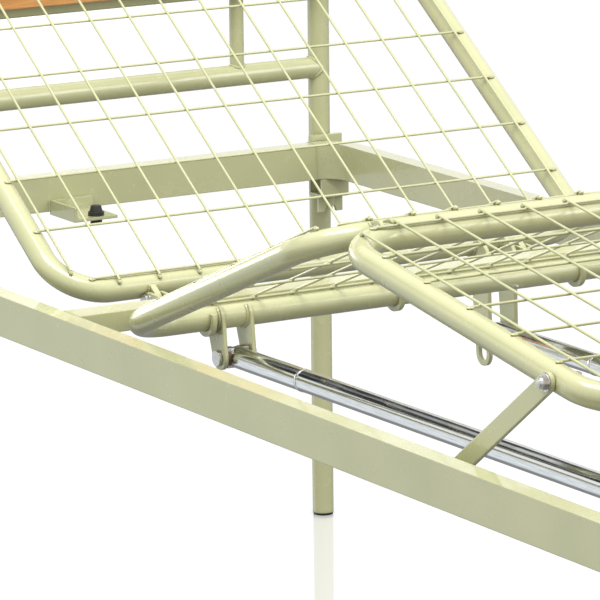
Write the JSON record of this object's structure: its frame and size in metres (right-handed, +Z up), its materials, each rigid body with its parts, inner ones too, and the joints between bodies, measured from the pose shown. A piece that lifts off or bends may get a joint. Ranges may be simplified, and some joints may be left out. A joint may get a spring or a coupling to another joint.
{
  "type": "adjustable bed base",
  "caption": "Steel bed base on plug-in end frames, with cranked back and knee sections of bent tube and welded wire mesh",
  "frame": {"origin": "on the floor under the middle of the box round the bed, in the stored pose", "axes": "X runs from the head to the foot, Y from the near side to the far side, Z up"},
  "size_m": [2.1663, 0.904, 0.93],
  "materials": {
    "cream_paint": "gloss cream powder paint",
    "wood_panel": "satin lacquered orange-toned wood",
    "zinc_plate": "bright zinc plating",
    "black_plastic": "black moulded plastic",
    "steel_bolts": "plated steel fasteners"
  },
  "bodies": {
    "frame": {"side_rail_near": "cream_paint", "side_rail_far": "cream_paint", "head_crossbar": "cream_paint", "foot_crossbar": "cream_paint", "hip_crossbar": "cream_paint", "rail_end_caps": "black_plastic", "back_hinge_ears": "cream_paint", "thigh_bearings": "cream_paint", "strut_brackets": "cream_paint", "screw_bearings": "cream_paint", "deck_rest": "cream_paint", "rest_buffer": "black_plastic", "foot_rests": "cream_paint", "foot_buffers": "black_plastic", "head_posts": "cream_paint", "head_cross_tubes": "cream_paint", "head_bars": "cream_paint", "head_panel": "wood_panel", "head_panel_screws": "steel_bolts", "head_brackets": "cream_paint", "head_glides": "black_plastic", "foot_posts": "cream_paint", "foot_cross_tubes": "cream_paint", "foot_bars": "cream_paint", "foot_panel": "wood_panel", "foot_panel_screws": "steel_bolts", "foot_brackets": "cream_paint", "foot_glides": "black_plastic", "back_hinge_bolts": "steel_bolts"},
    "head_wing_near": {"head_wing_near": "cream_paint"},
    "head_wing_far": {"head_wing_far": "cream_paint"},
    "foot_wing_near": {"foot_wing_near": "cream_paint"},
    "foot_wing_far": {"foot_wing_far": "cream_paint"},
    "back_section": {"back_loop": "cream_paint", "back_mesh": "cream_paint", "back_lugs": "cream_paint", "back_lever": "cream_paint"},
    "thigh_section": {"thigh_loop": "cream_paint", "thigh_mesh": "cream_paint", "thigh_lever": "cream_paint", "knee_ears": "cream_paint", "knee_bolts": "steel_bolts"},
    "calf_section": {"calf_loop": "cream_paint", "calf_mesh": "cream_paint", "knee_lugs": "cream_paint", "strut_bolts": "steel_bolts"},
    "strut_near": {"strut_near": "cream_paint"},
    "strut_far": {"strut_far": "cream_paint"},
    "back_push_tube": {"back_push_tube": "zinc_plate", "back_push_pin": "steel_bolts"},
    "thigh_push_tube": {"thigh_push_tube": "zinc_plate", "thigh_push_pin": "steel_bolts"},
    "back_screw": {"back_screw": "zinc_plate", "back_crank": "zinc_plate"},
    "back_grip": {"back_grip": "black_plastic"},
    "thigh_screw": {"thigh_screw": "zinc_plate", "thigh_crank": "zinc_plate"},
    "thigh_grip": {"thigh_grip": "black_plastic"}
  },
  "joints": [
    {"name": "back_raise", "type": "hinge", "parent": "frame", "child": "back_section", "pos_m": [-0.29095, 0, 0.533], "axis": [0, 1, 0], "range_deg": [-34, 31]},
    {"name": "thigh_raise", "type": "hinge", "parent": "frame", "child": "thigh_section", "pos_m": [-0.16425, 0, 0.533], "axis": [0, -1, 0], "range_deg": [-21.85, 6]},
    {"name": "calf_fold", "type": "hinge", "parent": "thigh_section", "child": "calf_section", "pos_m": [0.31524, 0, 0.72527], "axis": [0, -1, 0], "range_deg": [-8.56, 31.18]},
    {"name": "strut_near_swing", "type": "hinge", "parent": "calf_section", "child": "strut_near", "pos_m": [0.78366, -0.3969, 0.65344], "axis": [0, -1, 0], "range_deg": [-42.88, 11.78]},
    {"name": "strut_far_swing", "type": "hinge", "parent": "calf_section", "child": "strut_far", "pos_m": [0.78366, 0.3969, 0.65344], "axis": [0, -1, 0], "range_deg": [-42.88, 11.78]},
    {"name": "back_push", "type": "slide", "parent": "frame", "child": "back_push_tube", "axis": [1, 0, 0], "range_m": [-0.0614, 0.0671]},
    {"name": "thigh_pull", "type": "slide", "parent": "frame", "child": "thigh_push_tube", "axis": [1, 0, 0.0079], "range_m": [-0.0208, 0.0072]},
    {"name": "back_crank_turn", "type": "hinge", "parent": "frame", "child": "back_screw", "pos_m": [1.02475, 0.225, 0.436], "axis": [1, 0, 0], "range_deg": [-2179.85, 2390.81]},
    {"name": "back_grip_spin", "type": "hinge", "parent": "back_screw", "child": "back_grip", "pos_m": [1.02475, 0.225, 0.331], "axis": [1, 0, 0], "continuous": true},
    {"name": "thigh_crank_turn", "type": "hinge", "parent": "frame", "child": "thigh_screw", "pos_m": [1.02471, -0.2325, 0.49425], "axis": [1, 0, 0.0079], "range_deg": [-691.06, 189.77]},
    {"name": "thigh_grip_spin", "type": "hinge", "parent": "thigh_screw", "child": "thigh_grip", "pos_m": [1.02554, -0.2325, 0.38926], "axis": [1, 0, 0.0079], "continuous": true},
    {"name": "head_wing_near_turn", "type": "hinge", "parent": "frame", "child": "head_wing_near", "pos_m": [-1.03225, -0.424, 0.473], "axis": [0, 0, 1], "continuous": true},
    {"name": "head_wing_far_turn", "type": "hinge", "parent": "frame", "child": "head_wing_far", "pos_m": [-1.03225, 0.424, 0.473], "axis": [0, 0, 1], "continuous": true},
    {"name": "foot_wing_near_turn", "type": "hinge", "parent": "frame", "child": "foot_wing_near", "pos_m": [0.97875, -0.424, 0.473], "axis": [0, 0, 1], "continuous": true},
    {"name": "foot_wing_far_turn", "type": "hinge", "parent": "frame", "child": "foot_wing_far", "pos_m": [0.97875, 0.424, 0.473], "axis": [0, 0, 1], "continuous": true}
  ],
  "couplings": [
    {"joint": "calf_fold", "follows": "thigh_raise", "ratio": -1.399},
    {"joint": "strut_near_swing", "follows": "thigh_raise", "ratio": 1.9239},
    {"joint": "strut_far_swing", "follows": "thigh_raise", "ratio": 1.9239},
    {"joint": "back_push", "follows": "back_raise", "m_per_rad": -0.10972},
    {"joint": "thigh_pull", "follows": "thigh_raise", "m_per_rad": 0.04935},
    {"joint": "back_crank_turn", "follows": "back_raise", "ratio": -68.939},
    {"joint": "thigh_crank_turn", "follows": "thigh_raise", "ratio": 31.008}
  ]
}
